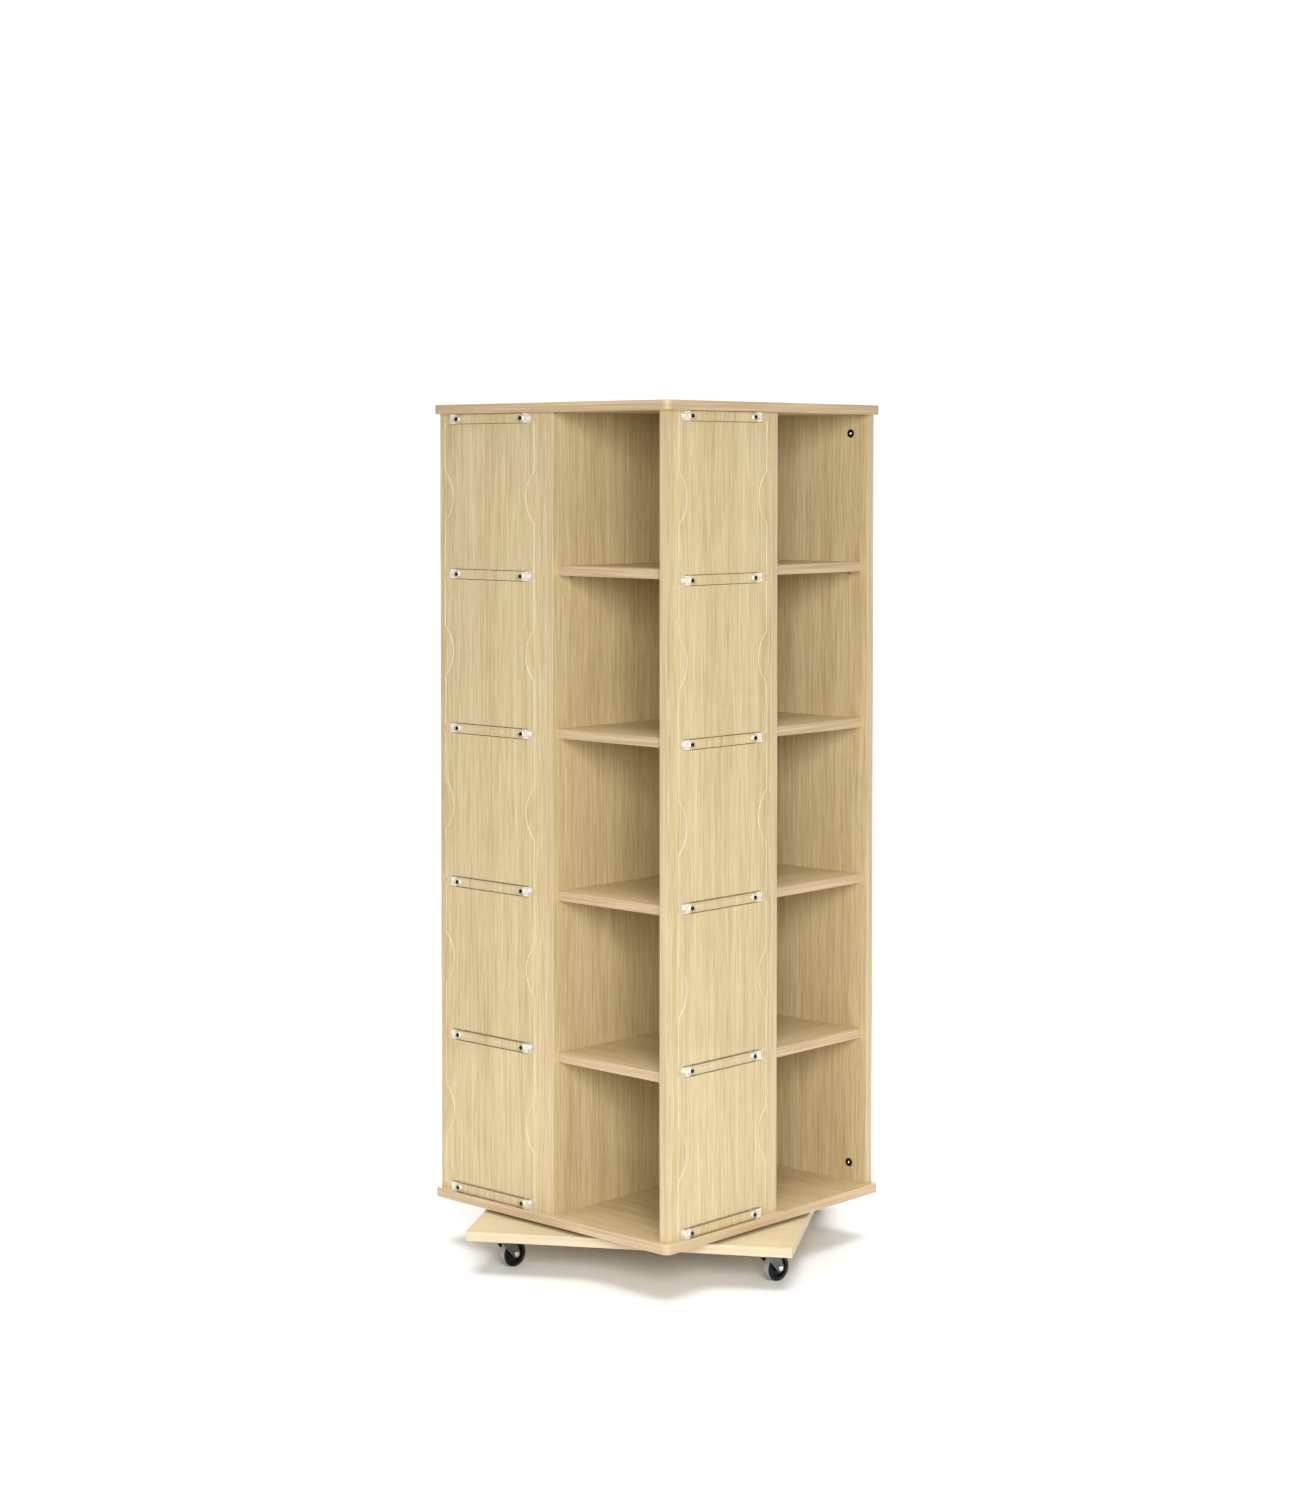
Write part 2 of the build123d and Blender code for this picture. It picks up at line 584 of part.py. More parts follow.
side_panel = upright(-WALL, -HALF_THICK, -WALL, -WALL + BOARD_THICK)
side_bores = quarter_turns(outer_bores, 3) + cam_bores() + bolt_bores + bar_screw_bores()
side_panel = cut(side_panel, side_bores)
shelves = front_shelves()
plates = front_plates()
bars = front_bars()
for face, name in enumerate(FACES):
    save(f"side_panel_{name}", *quarter_turns([side_panel], face))
    save(f"shelves_{name}", *quarter_turns(shelves, face))
    save(f"display_plates_{name}", *quarter_turns(plates, face))
    save(f"plate_bars_{name}", *quarter_turns(bars, face))

save("bar_bushes", *on_every_face([bar_bush(x, z) for x in BAR_SCREW_X for z in BAR_HEIGHTS]))
save("bar_screws", *on_every_face([bar_screw(x, z) for x in BAR_SCREW_X for z in BAR_HEIGHTS]))
save("shelf_pins", *on_every_face(inner_pins + outer_pins))
save("cam_locks", *on_every_face(cam_locks()))
save("cam_collars", *on_every_face(cam_collars()))
save("cam_bolts", *on_every_face(cam_bolts()))
save("panel_dowels", *all_dowels)

balls, cage = turntable_balls()
save("turntable_upper_plate", turntable_upper_plate())
save("turntable_upper_screws", *tower_race_screws)
save("turntable_lower_plate", turntable_lower_plate())
save("turntable_lower_screws", *base_race_screws)
save("turntable_balls", *balls)
save("turntable_ball_cage", cage)

spots = caster_spots()
base_turn = Rot(0, 0, BASE_ANGLE)
trail_turn = Rot(0, 0, TRAIL_ANGLE)
base_board = base_turn * square_board(BASE_Z, BASE_CORNER_RADIUS)
base_bores = [spot * base_turn * bore for spot in spots for bore in caster_screw_bores()]
save("base_board", cut(base_board, base_bores + base_race_screws))
save("caster_screws", *[spot * base_turn * screw for spot in spots for screw in caster_screws()])
save("caster_kingpins", *[spot * caster_kingpin() for spot in spots])
save("caster_swivel_balls", *[spot * ball for spot in spots for ball in swivel_balls()])
for number, spot in enumerate(spots, 1):
    save(f"caster_plate_{number}", spot * base_turn * caster_plate())
    save(f"caster_fork_{number}", spot * trail_turn * caster_fork())
    save(f"caster_axle_{number}", spot * trail_turn * caster_axle())
    save(f"wheel_core_{number}", spot * trail_turn * wheel_core())
    save(f"wheel_tread_{number}", spot * trail_turn * wheel_tread())
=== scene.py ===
import math

import bpy
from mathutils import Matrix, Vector


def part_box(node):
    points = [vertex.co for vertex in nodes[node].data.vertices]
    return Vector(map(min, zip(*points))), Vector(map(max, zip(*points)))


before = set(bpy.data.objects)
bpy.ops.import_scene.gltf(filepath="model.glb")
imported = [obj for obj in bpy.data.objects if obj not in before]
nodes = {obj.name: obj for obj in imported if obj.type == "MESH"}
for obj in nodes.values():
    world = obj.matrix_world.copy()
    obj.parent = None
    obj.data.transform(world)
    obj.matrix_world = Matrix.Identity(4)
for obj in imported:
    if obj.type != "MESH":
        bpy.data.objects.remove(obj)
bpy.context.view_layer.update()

# A revolving display tower in light maple laminate, with clear acrylic plates, on a castered base board.
# Sizes are metres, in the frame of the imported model. Noise scales are in cycles per metre.

AXES = "XYZ"
FACES = ("front", "right", "back", "left")
CASTERS = (1, 2, 3, 4)
BASE_TURN = math.radians(32.2)       # base board's turn under the tower, at rest
TRAIL_TURN = math.radians(82.0)      # direction in which every fork trails, at rest
AXLE = (-math.sin(TRAIL_TURN), math.cos(TRAIL_TURN), 0.0)     # every wheel's axle, at rest


# ---- node helpers ----
def srgb(red, green, blue):
    """A screen colour, 0 to 255, as the linear colour that a shader takes."""
    def linear(value):
        value = value / 255
        return value / 12.92 if value <= 0.04045 else ((value + 0.055) / 1.055) ** 2.4
    return (linear(red), linear(green), linear(blue), 1.0)


BLACK = (0.0, 0.0, 0.0, 1.0)
WHITE = (1.0, 1.0, 1.0, 1.0)


class Shader:
    """A material being built. Most calls add nodes and return the last one's output."""

    def __init__(self, name):
        self.material = bpy.data.materials.new(name)
        self.material.use_nodes = True
        self.tree = self.material.node_tree
        self.surface = self.tree.nodes["Principled BSDF"]
        self.place = self.node("TexCoord").outputs

    def node(self, kind, inputs=(), **settings):
        made = self.tree.nodes.new("ShaderNode" + kind)
        for name, value in settings.items():
            setattr(made, name, value)
        for key, value in dict(inputs).items():
            self.feed(made.inputs[key], value)
        return made

    def feed(self, socket, value):
        if isinstance(value, bpy.types.NodeSocket):
            self.tree.links.new(value, socket)
        else:
            socket.default_value = value

    def set(self, **values):
        for name, value in values.items():
            self.feed(self.surface.inputs[name.replace("_", " ")], value)

    def math(self, operation, first, second=0.0):
        return self.node("Math", {0: first, 1: second}, operation=operation).outputs[0]

    def scaled(self, value, factor, added):
        """A value times a factor, plus a number."""
        return self.node("Math", {0: value, 1: factor, 2: added}, operation="MULTIPLY_ADD").outputs[0]

    def blend(self, *parts):
        """The sum of several values, each times its weight."""
        value, weight = parts[0]
        total = self.math("MULTIPLY", value, weight)
        for value, weight in parts[1:]:
            total = self.math("ADD", total, self.math("MULTIPLY", value, weight))
        return total

    def squares(self, first, second):
        """The sum of two values' squares."""
        return self.math("ADD", self.math("MULTIPLY", first, first), self.math("MULTIPLY", second, second))

    def part(self, output, axis):
        """One part of the position (Object) or of the normal (Normal)."""
        return self.node("SeparateXYZ", {0: self.place[output]}).outputs[axis]

    def faces(self, axis):
        """How squarely the surface faces along an axis, either way: 0 to 1."""
        return self.math("ABSOLUTE", self.part("Normal", axis))

    def faces_along(self, direction):
        """The same for any direction."""
        inputs = {0: self.place["Normal"], 1: direction}
        facing = self.node("VectorMath", inputs, operation="DOT_PRODUCT").outputs["Value"]
        return self.math("ABSOLUTE", facing)

    def noise(self, position, scales, detail, roughness):
        """Noise from 0 to 1, with its own scale along each axis."""
        stretched = self.node("VectorMath", {0: position, 1: scales}, operation="MULTIPLY").outputs[0]
        inputs = {"Vector": stretched, "Scale": 1.0, "Detail": detail, "Roughness": roughness}
        return self.node("TexNoise", inputs).outputs["Fac"]

    def mottle(self, scale, detail, roughness):
        """Noise that is the same along all three axes."""
        return self.noise(self.place["Object"], (scale, scale, scale), detail, roughness)

    def ramp(self, value, stops):
        stops = list(stops)
        made = self.node("ValToRGB", {"Fac": value})
        elements = made.color_ramp.elements
        while len(elements) < len(stops):
            elements.new(0.5)
        for element, (place, colour) in zip(elements, stops):
            element.position = place
            element.color = colour
        return made.outputs["Color"]

    def step(self, value, start, end):
        """0 up to the start, 1 from the end, and a slope between them."""
        return self.ramp(value, ((start, BLACK), (end, WHITE)))

    def mix(self, share, first, second):
        inputs = {0: share, 6: first, 7: second}
        return self.node("Mix", inputs, data_type="RGBA", blend_type="MIX").outputs[2]

    def bump(self, height, distance, strength):
        inputs = {"Height": height, "Distance": distance, "Strength": strength}
        return self.node("Bump", inputs).outputs["Normal"]


# ---- maple laminate ----
MAPLE_LIGHT = srgb(221, 205, 163)
MAPLE_MID = srgb(206, 187, 143)
MAPLE_DEEP = srgb(184, 160, 112)
RING_LINE = srgb(162, 134, 84)
MAPLE_PALE = srgb(240, 228, 200)
BOARD_BAND = (srgb(182, 155, 120), srgb(210, 187, 152))      # darkest and lightest of a rim band
PANEL_BAND = (srgb(190, 167, 130), srgb(212, 192, 156))
RING_SPACING = 0.0085
RING_TONES = ((0.0, 0.0), (0.55, 0.1), (0.86, 1.0), (1.0, 0.0))    # across one ring: place, darkness
HEART_SPACING = 0.29         # one heart of the figure to the next, across the grain
HEART_DRIFT = 0.07           # how far a heart wanders sideways along the board
RING_WOBBLE = 0.005          # the same for the rings' small waves
LOG_DEPTH = 0.026            # mean depth of the log's middle below the face
LOG_WAVE = 0.13              # how far that depth wanders along the board
RING_STRENGTH = 0.3          # how much of the line colour each pattern adds at its darkest
LINE_STRENGTH = 0.24
FLECK_STRENGTH = 0.26
BAND_WEIGHT = 0.22           # each pattern's part in the wood's tone
STREAK_WEIGHT = 0.5
FINE_WEIGHT = 0.28
TONE_STOPS = ((0.34, MAPLE_DEEP), (0.5, MAPLE_MID), (0.66, MAPLE_LIGHT))
RING_FADE = (1.6, -0.3)      # factor and shift that fade the rings out in places
FLECK_EDGE = (0.62, 0.72)    # where a pattern's noise starts to show, and where it shows in full
LINE_EDGE = (0.54, 0.68)
RIM_EDGE = (0.34, 0.64)
MAPLE_GLOSS = (0.22, 0.33)   # factor and shift from texture to roughness
MAPLE_RELIEF = 0.00012
RIM_BELOW = 0.72             # the rim is where the surface faces the board's thickness less than this

# each pattern's noise: scale across the grain, scale along it, detail, roughness
DRIFT = (6.0, 2.2, 2.0, 0.5)           # the hearts' slow bend
WOBBLE = (55.0, 9.0, 2.0, 0.5)         # small waves in the rings
WANDER = (0.0, 2.1, 2.0, 0.4)          # the log's depth
FADE = (14.0, 3.0, 1.0, 0.5)           # where the rings are faint
BANDS = (34.0, 0.6, 1.0, 0.5)          # broad bands of tone along the whole board
STREAKS = (290.0, 7.0, 2.0, 0.7)       # the main grain
FINE = (620.0, 14.0, 2.0, 0.7)         # the finer grain between
FLECKS = (700.0, 60.0, 1.0, 0.5)       # short dark pores
LINES = (400.0, 10.0, 1.0, 0.5)        # longer dark lines
RIM_STREAKS = (330.0, 4.0, 3.0, 0.6)   # on the edge bands


def pattern(shader, local, kind):
    """A noise drawn out along the grain, which is the third axis of the local position."""
    across, along, detail, roughness = kind
    return shader.noise(local, (across, across, along), detail, roughness)


def growth_rings(shader, local, u):
    """The cathedral figure: rings of a log whose middle wanders below the face."""
    drift = pattern(shader, local, DRIFT)
    wobble = pattern(shader, local, WOBBLE)
    side = shader.math("SUBTRACT", shader.math("PINGPONG", u, HEART_SPACING), HEART_SPACING / 2)
    side = shader.math("ADD", side, shader.scaled(drift, HEART_DRIFT, -HEART_DRIFT / 2))
    side = shader.math("ADD", side, shader.scaled(wobble, RING_WOBBLE, -RING_WOBBLE / 2))
    depth = shader.scaled(pattern(shader, local, WANDER), LOG_WAVE, LOG_DEPTH - LOG_WAVE / 2)
    radius = shader.math("SQRT", shader.squares(side, depth))
    ring = shader.math("FRACT", shader.math("MULTIPLY", radius, 1 / RING_SPACING))
    ring = shader.ramp(ring, [(stop, (grey, grey, grey, 1)) for stop, grey in RING_TONES])
    fade = shader.scaled(pattern(shader, local, FADE), *RING_FADE)
    return shader.math("MULTIPLY", ring, fade)


def rim_band(shader, turned, face):
    """The edge band: fine streaks along it, on a board lying flat or on an upright panel."""
    across, along, detail, roughness = RIM_STREAKS
    flat = face == "Z"
    scales = (along, along, across) if flat else (across, across, along)
    band = BOARD_BAND if flat else PANEL_BAND
    return shader.ramp(shader.noise(turned, scales, detail, roughness), zip(RIM_EDGE, band))


def third_axis(face, grain):
    """The axis across the grain, in the plane of the board."""
    return next(axis for axis in AXES if axis not in (face, grain))


def maple(name, face, grain, offset, turn=0.0, paleness=0.0):
    """Printed maple: a cathedral figure, streaks and flecks on the faces, and plain bands on the rims."""
    shader = Shader(name)
    inputs = {"Vector": shader.place["Object"], "Rotation": (0, 0, -turn)}
    turned = shader.node("Mapping", inputs).outputs[0]
    parts = shader.node("SeparateXYZ", {0: turned}).outputs
    u = shader.math("ADD", parts[third_axis(face, grain)], offset[0])
    v = shader.math("ADD", parts[face], offset[1])
    w = shader.math("ADD", parts[grain], offset[2])
    local = shader.node("CombineXYZ", {0: u, 1: v, 2: w}).outputs[0]

    rings = growth_rings(shader, local, u)
    bands = pattern(shader, local, BANDS)
    streaks = pattern(shader, local, STREAKS)
    fine = pattern(shader, local, FINE)
    flecks = shader.step(pattern(shader, local, FLECKS), *FLECK_EDGE)
    lines = shader.step(pattern(shader, local, LINES), *LINE_EDGE)
    tone = shader.blend((bands, BAND_WEIGHT), (streaks, STREAK_WEIGHT), (fine, FINE_WEIGHT))
    wood = shader.ramp(tone, TONE_STOPS)
    for mark, strength in ((lines, LINE_STRENGTH), (rings, RING_STRENGTH), (flecks, FLECK_STRENGTH)):
        wood = shader.mix(shader.math("MULTIPLY", mark, strength), wood, RING_LINE)

    is_rim = shader.math("LESS_THAN", shader.faces(face), RIM_BELOW)
    colour = shader.mix(is_rim, wood, rim_band(shader, turned, face))
    texture = shader.blend((fine, 0.6), (streaks, 0.4))
    shader.set(Base_Color=shader.mix(paleness, colour, MAPLE_PALE))
    shader.set(Roughness=shader.scaled(texture, *MAPLE_GLOSS), Specular_IOR_Level=0.4)
    shader.set(Normal=shader.bump(texture, MAPLE_RELIEF, 0.6))
    return shader.material


# ---- clear acrylic ----
ACRYLIC = (0.985, 0.982, 0.962, 1)
ACRYLIC_IOR = 1.49
SAWN_LIGHT = srgb(252, 252, 250)
SAWN_DULL = srgb(226, 225, 224)
RIM_LIGHT = srgb(255, 252, 238)
RIM_DULL = srgb(244, 238, 220)
# painted shade: the bars' sawn end faces get a greyer, lilac tone than their pale flats
END_FACE_SHADE = srgb(214, 210, 216)
# painted shade: the dark brown laid over the bars' upper and lower faces
LONG_EDGE_SHADE = srgb(74, 56, 28)
# painted shade: a dark brown laid along each bar's front and back faces, near its top and bottom
OUTLINE_SHADE = srgb(112, 84, 36)
OUTLINE_FROM = 0.0088        # bar's mid-height to its painted shade lines, above and below
ROW_LOW = 0.116              # height of the lowest bar's middle
ROW_PITCH = 0.2944           # from one bar up to the next
SCREW_OFFSET = 0.0865        # bar's middle to its screws
BUSH_ZONE = 0.0043           # radius round a screw that its bush and bore take up
RIM_COVER = 0.75             # how much of the clear surface each coat hides
EDGE_SHADE_COVER = 0.6
END_COVER = 0.6
OUTLINE_COVER = 0.6
BEYOND_SCREW_COVER = 0.2
BORE_COVER = 0.9
COVER_SPREAD = 0.3           # how unevenly it does so
COAT_EDGE = (0.3, 0.7)       # noise at which a coat has its dull tone and its light one
COAT_GLOSS = (0.3, 0.3)      # factor and shift from noise to roughness
FACING = 0.7                 # a sawn face looks along an axis by more than this
LEANING = 0.5                # a flat face leans towards the other axes by less than this


class Acrylic(Shader):
    """Clear polished acrylic, to which satin coats are added where it has been sawn or bored, and as painted
    shade along the bars' edges.
    """

    def __init__(self, name):
        super().__init__(name)
        self.set(Base_Color=ACRYLIC, Roughness=0.0, IOR=ACRYLIC_IOR, Transmission_Weight=1.0)
        self.set(Specular_IOR_Level=0.15, Specular_Tint=(0.1, 0.1, 0.1, 1))
        self.marks = self.mottle(900.0, 2.0, 0.6)
        self.shown = self.surface.outputs[0]

    def cover(self, mask, amount, dull, light):
        """Lays a satin, nearly solid coat over the surface where the mask is 1."""
        tone = self.ramp(self.marks, zip(COAT_EDGE, (dull, light)))
        gloss = self.scaled(self.marks, *COAT_GLOSS)
        inputs = {"Base Color": tone, "Roughness": gloss, "IOR": ACRYLIC_IOR}
        coat = self.node("BsdfPrincipled", inputs).outputs[0]
        uneven = self.scaled(self.marks, COVER_SPREAD, amount - COVER_SPREAD / 2)
        inputs = {0: self.math("MULTIPLY", mask, uneven), 1: self.shown, 2: coat}
        self.shown = self.node("MixShader", inputs).outputs[0]
        self.feed(self.tree.nodes["Material Output"].inputs["Surface"], self.shown)


def plate_acrylic(name, thin):
    """A plate's acrylic: its cut rims show pale."""
    shader = Acrylic(name)
    rim = shader.math("LESS_THAN", shader.faces(thin), FACING)
    shader.cover(rim, RIM_COVER, RIM_DULL, RIM_LIGHT)
    return shader.material


def bar_acrylic(name, long, middle):
    """A bar's acrylic: painted shade as dark long edges and outlines, pale sawn ends with painted shade on
    their end faces, and bright bores round the bushes.
    """
    shader = Acrylic(name)
    upward = shader.faces("Z")
    endward = shader.faces(long)
    flat = shader.math("LESS_THAN", shader.math("ADD", endward, upward), LEANING)
    from_middle = shader.math("ABSOLUTE", shader.math("SUBTRACT", shader.part("Object", long), middle))
    beyond_screw = shader.math("GREATER_THAN", from_middle, SCREW_OFFSET + BUSH_ZONE)
    sideways = shader.math("SUBTRACT", from_middle, SCREW_OFFSET)
    raised = shader.math("ADD", shader.part("Object", "Z"), ROW_PITCH / 2 - ROW_LOW)
    raised = shader.math("SUBTRACT", shader.math("FLOORED_MODULO", raised, ROW_PITCH), ROW_PITCH / 2)
    shade_lines = shader.math("GREATER_THAN", shader.math("ABSOLUTE", raised), OUTLINE_FROM)
    end_face = shader.math("MULTIPLY", beyond_screw, shader.math("GREATER_THAN", endward, FACING))
    in_bore = shader.math("LESS_THAN", shader.squares(sideways, raised), BUSH_ZONE ** 2)

    # painted shade: the bars' upper and lower faces darkened with a brown coat
    shader.cover(shader.math("GREATER_THAN", upward, LEANING), EDGE_SHADE_COVER, LONG_EDGE_SHADE, LONG_EDGE_SHADE)
    # painted shade: the end faces are given a darker sawn tone than the flats
    shader.cover(end_face, END_COVER, SAWN_DULL, END_FACE_SHADE)
    shader.cover(shader.math("MULTIPLY", beyond_screw, flat), BEYOND_SCREW_COVER, SAWN_LIGHT, SAWN_LIGHT)
    # painted shade: dark lines along the bar's top and bottom margins
    shader.cover(shader.math("MULTIPLY", shade_lines, flat), OUTLINE_COVER, OUTLINE_SHADE, OUTLINE_SHADE)
    shader.cover(in_bore, BORE_COVER, SAWN_LIGHT, SAWN_LIGHT)
    return shader.material


# ---- metals ----
NICKEL = (0.8, 0.79, 0.76, 1)
ZINC = (0.6, 0.61, 0.62, 1)
BLACK_OXIDE = srgb(70, 68, 66)
# painted shade for the fork's faces, and a painted highlight for its edges
FORK_FACE_SHADE = (0.15, 0.165, 0.165, 1)
FORK_EDGE_HIGHLIGHT = (0.9, 0.91, 0.92, 1)
FORK_SMEAR = (0.08, 0.08, 0.085, 1)
METAL_RELIEF = 0.00005


def metal(name, tone, roughness, mottle_scale, spread):
    """Plated steel: a mottled tone and an uneven gloss."""
    shader = Shader(name)
    mottle = shader.mottle(mottle_scale, 3.0, 0.6)
    dark = tuple(level * (1 - spread) for level in tone[:3]) + (1,)
    shader.set(Base_Color=shader.ramp(mottle, ((0.35, dark), (0.65, tone))), Metallic=1.0)
    shader.set(Roughness=shader.scaled(mottle, roughness, roughness * 0.5))
    shader.set(Normal=shader.bump(mottle, METAL_RELIEF, 0.4))
    return shader.material


def pressed_fork(name):
    """Zinc-plated pressings, with painted shade where they face along the axle and a painted highlight on
    their cut edges.
    """
    shader = Shader(name)
    mottle = shader.mottle(220.0, 3.0, 0.6)
    smears = shader.noise(shader.place["Object"], (90.0, 90.0, 30.0), 3.0, 0.6)
    # painted light: dark shade on the faces along the axle, a bright highlight on the edges
    shaded_faces = shader.step(shader.faces_along(AXLE), 0.45, 0.75)
    colour = shader.mix(shaded_faces, FORK_EDGE_HIGHLIGHT, FORK_FACE_SHADE)
    colour = shader.mix(shader.scaled(smears, 0.7, -0.15), colour, FORK_SMEAR)
    shader.set(Base_Color=colour, Metallic=1.0, Roughness=shader.scaled(mottle, 0.3, 0.22))
    shader.set(Normal=shader.bump(mottle, METAL_RELIEF, 0.4))
    return shader.material


# ---- plastics and rubber ----
TREAD = srgb(150, 151, 152)
TREAD_WORN = srgb(176, 172, 166)
SIDEWALL = srgb(9, 9, 10)
PLASTIC = srgb(11, 11, 12)
PLASTIC_WORN = srgb(40, 38, 36)


def tyre(name):
    """A moulded wheel tyre: a pale rolling surface between black sidewalls, with dust and a fine grain."""
    shader = Shader(name)
    grain = shader.mottle(800.0, 3.0, 0.7)
    dust = shader.scaled(shader.mottle(60.0, 4.0, 0.6), 0.9, -0.2)
    on_side = shader.step(shader.faces_along(AXLE), 0.35, 0.5)
    shader.set(Base_Color=shader.mix(on_side, shader.mix(dust, TREAD, TREAD_WORN), SIDEWALL))
    shader.set(Roughness=shader.scaled(grain, 0.2, 0.35), Specular_IOR_Level=0.25)
    shader.set(Normal=shader.bump(grain, 0.00008, 0.7))
    return shader.material


def moulded(name):
    """Moulded black plastic with a fine texture and a dusting in patches."""
    shader = Shader(name)
    grain = shader.mottle(900.0, 3.0, 0.7)
    dust = shader.step(shader.mottle(54.0, 4.0, 0.6), 0.45, 0.75)
    shader.set(Base_Color=shader.mix(shader.math("MULTIPLY", dust, 0.5), PLASTIC, PLASTIC_WORN))
    shader.set(Roughness=shader.scaled(grain, 0.2, 0.32), Specular_IOR_Level=0.25)
    shader.set(Normal=shader.bump(grain, 0.00006, 0.7))
    return shader.material


# ---- every node's material ----
SPREAD_ALONG = 0.37          # the figure's shift from one board to the next, along the grain
SPREAD_ACROSS = 0.021        # and across it
BASE_PALENESS = 0.35         # the base board is paler than the tower

# every board: its node, the axis through its thickness, and the axis of its grain
BOARDS = [("top_board", "Z", "X"), ("bottom_board", "Z", "X"), ("base_board", "Z", "X"),
          ("centre_panel", "Y", "Z"), ("divider_front", "X", "Z"), ("divider_back", "X", "Z")]
BOARDS += [(f"side_panel_{name}", face, "Z") for name, face in zip(FACES, "YXYX")]
BOARDS += [(f"shelves_{name}", "Z", grain) for name, grain in zip(FACES, "XYXY")]
DOWEL_OFFSET = (0.3, 0.1, 0.2)

NICKEL_NODES = ["bar_bushes", "cam_locks", "shelf_pins"]
ZINC_NODES = ["cam_bolts", "turntable_upper_plate", "turntable_lower_plate", "turntable_upper_screws",
              "turntable_lower_screws", "turntable_balls", "caster_screws", "caster_kingpins",
              "caster_swivel_balls"]
PLASTIC_NODES = ["cam_collars", "turntable_ball_cage"]


def paint(name, material):
    """Gives a CAD node its finished material."""
    slots = nodes[name].data.materials
    slots.clear()
    slots.append(material)


def on_casters(part):
    """The names of one part's four nodes, one on each caster."""
    return [f"{part}_{number}" for number in CASTERS]


def paint_boards():
    """Maple on every board, each with its own stretch of the figure."""
    for count, (name, face, grain) in enumerate(BOARDS):
        low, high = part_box(name)
        middle = (low + high) / 2
        u, v, w = (-middle[AXES.index(axis)] for axis in (third_axis(face, grain), face, grain))
        offset = (u + SPREAD_ACROSS * (count % 5 - 2), v, w + SPREAD_ALONG * (count % 4 - 1.5))
        is_base = name == "base_board"
        turn = BASE_TURN if is_base else 0.0
        paleness = BASE_PALENESS if is_base else 0.0
        paint(name, maple("maple_" + name, face, grain, offset, turn, paleness))
    paint("panel_dowels", maple("birch_dowel", "Y", "Z", DOWEL_OFFSET))


def paint_acrylic():
    """Clear plates and bars. They cast no shadow, and they add no light of their own to what is behind."""
    for name, thin, long in zip(FACES, "YXYX", "XYXY"):
        bars_low, bars_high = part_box(f"plate_bars_{name}")
        middle = (bars_low + bars_high)[AXES.index(long)] / 2
        paint(f"display_plates_{name}", plate_acrylic(f"plate_acrylic_{name}", thin))
        paint(f"plate_bars_{name}", bar_acrylic(f"bar_acrylic_{name}", long, middle))
        for clear in (nodes[f"display_plates_{name}"], nodes[f"plate_bars_{name}"]):
            clear.visible_shadow = False
            clear.visible_diffuse = False


def paint_hardware():
    """Metals, plastic and rubber: one material for each kind of part."""
    nickel = metal("bright_nickel", NICKEL, 0.2, 260.0, 0.12)
    oxide = metal("black_oxide", BLACK_OXIDE, 0.22, 260.0, 0.3)
    zinc = metal("zinc_plate", ZINC, 0.36, 180.0, 0.3)
    plastic = moulded("black_plastic")
    finishes = [(nickel, NICKEL_NODES + on_casters("caster_axle")),
                (oxide, ["bar_screws"]),
                (zinc, ZINC_NODES + on_casters("caster_plate")),
                (plastic, PLASTIC_NODES + on_casters("wheel_core")),
                (tyre("wheel_tyre"), on_casters("wheel_tread")),
                (pressed_fork("pressed_fork"), on_casters("caster_fork"))]
    for material, names in finishes:
        for name in names:
            paint(name, material)


# ---- stage ----
FLOOR_RADIUS = 2.2
FLOOR_TONE = (0.93, 0.93, 0.93, 1)
TOWER_MIDDLE = (0, 0, 0.9)           # what the lamps point at
WORLD_LIGHT = 0.3                    # the studio's surround as a light, and as the camera sees it
WORLD_SEEN = 1.1
TOP_POWER = 2.7
TOP_SPREAD = math.radians(50.0)
LENS = 67.245                        # millimetres, as the sensor's width
SENSOR = 36.0
LENS_SHIFT = -0.1168
EYE = (3.6206, -3.9265, 1.4866)
EYE_DROP = math.radians(2.0)         # how far below level the camera looks
EYE_HEADING = math.radians(42.936)


def floor():
    """A plain pale disc for the tower to stand on."""
    bpy.ops.mesh.primitive_circle_add(vertices=96, radius=FLOOR_RADIUS, fill_type="NGON", location=(0, 0, 0))
    disc = bpy.context.object
    disc.name = "floor"
    shader = Shader("pale_floor")
    shader.set(Base_Color=FLOOR_TONE, Roughness=0.7, Specular_IOR_Level=0.2)
    disc.data.materials.append(shader.material)


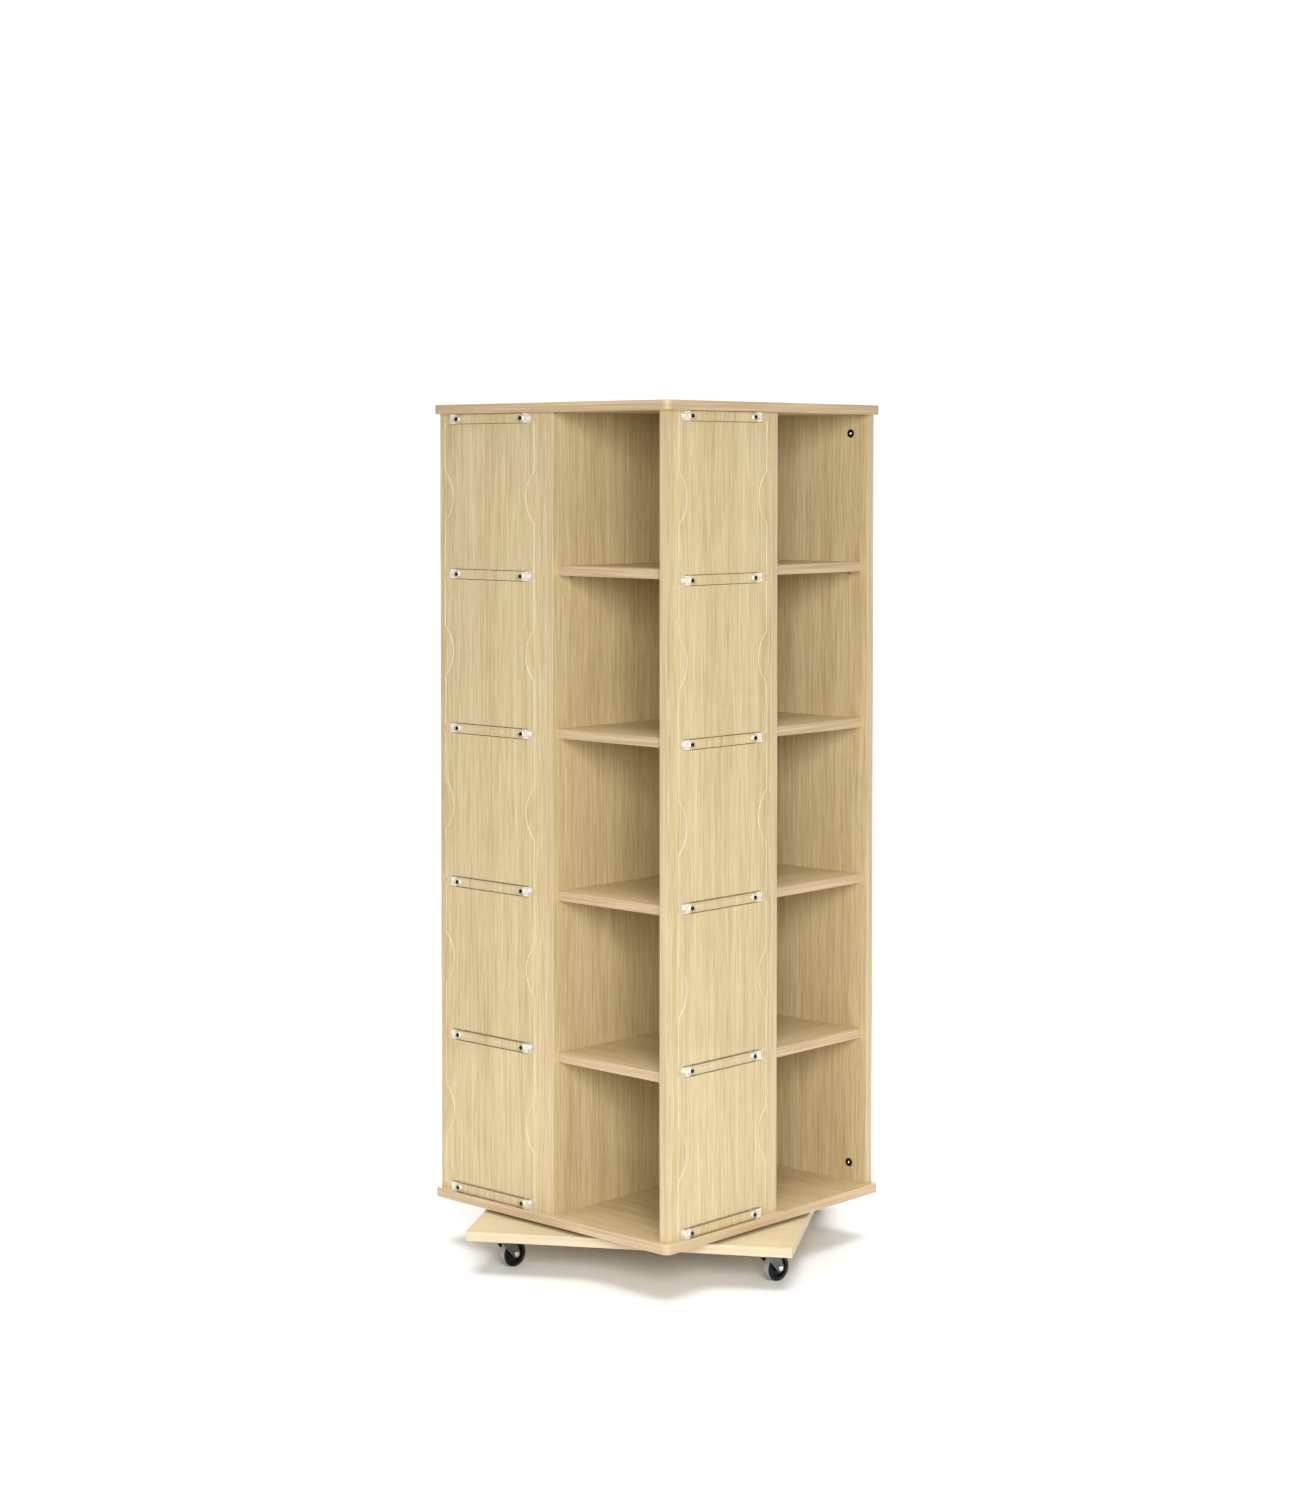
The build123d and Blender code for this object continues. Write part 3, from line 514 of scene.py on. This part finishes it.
def soft_light(name, place, side, power):
    """A square soft box that points at the tower's middle."""
    data = bpy.data.lights.new(name, "AREA")
    data.shape = "RECTANGLE"
    data.size = side
    data.size_y = side
    data.energy = power
    lamp = bpy.data.objects.new(name, data)
    lamp.location = place
    lamp.rotation_euler = (Vector(TOWER_MIDDLE) - Vector(place)).to_track_quat("-Z", "Y").to_euler()
    bpy.context.scene.collection.objects.link(lamp)


def top_light():
    """A wide, soft light from straight above."""
    data = bpy.data.lights.new("top", "SUN")
    data.energy = TOP_POWER
    data.angle = TOP_SPREAD
    lamp = bpy.data.objects.new("top", data)
    bpy.context.scene.collection.objects.link(lamp)


def world_light():
    """An even studio surround, whiter to the eye than it is as a light."""
    world = bpy.data.worlds.new("studio")
    world.use_nodes = True
    tree = world.node_tree
    path = tree.nodes.new("ShaderNodeLightPath").outputs
    direct = tree.nodes.new("ShaderNodeMath")
    direct.operation = "MAXIMUM"
    tree.links.new(path["Is Camera Ray"], direct.inputs[0])
    tree.links.new(path["Is Transmission Ray"], direct.inputs[1])
    level = tree.nodes.new("ShaderNodeMath")
    level.operation = "MULTIPLY_ADD"
    tree.links.new(direct.outputs[0], level.inputs[0])
    level.inputs[1].default_value = WORLD_SEEN - WORLD_LIGHT
    level.inputs[2].default_value = WORLD_LIGHT
    background = tree.nodes["Background"]
    background.inputs["Color"].default_value = WHITE
    tree.links.new(level.outputs[0], background.inputs["Strength"])
    bpy.context.scene.world = world


def camera():
    """The viewing angle: a long lens on the corner between the front and right faces, at eye level."""
    data = bpy.data.cameras.new("camera")
    data.lens = LENS
    data.sensor_width = SENSOR
    data.shift_y = LENS_SHIFT
    eye = bpy.data.objects.new("camera", data)
    eye.location = EYE
    eye.rotation_euler = (math.pi / 2 - EYE_DROP, 0, EYE_HEADING)
    bpy.context.scene.collection.objects.link(eye)
    bpy.context.scene.camera = eye


paint_boards()
paint_acrylic()
paint_hardware()
floor()
world_light()
top_light()
soft_light("key", place=(3.7, -3.5, 2.2), side=2.0, power=215)
soft_light("fill", place=(-3.6, 3.5, 2.4), side=2.6, power=90)
camera()
bpy.context.scene.view_settings.view_transform = "Standard"
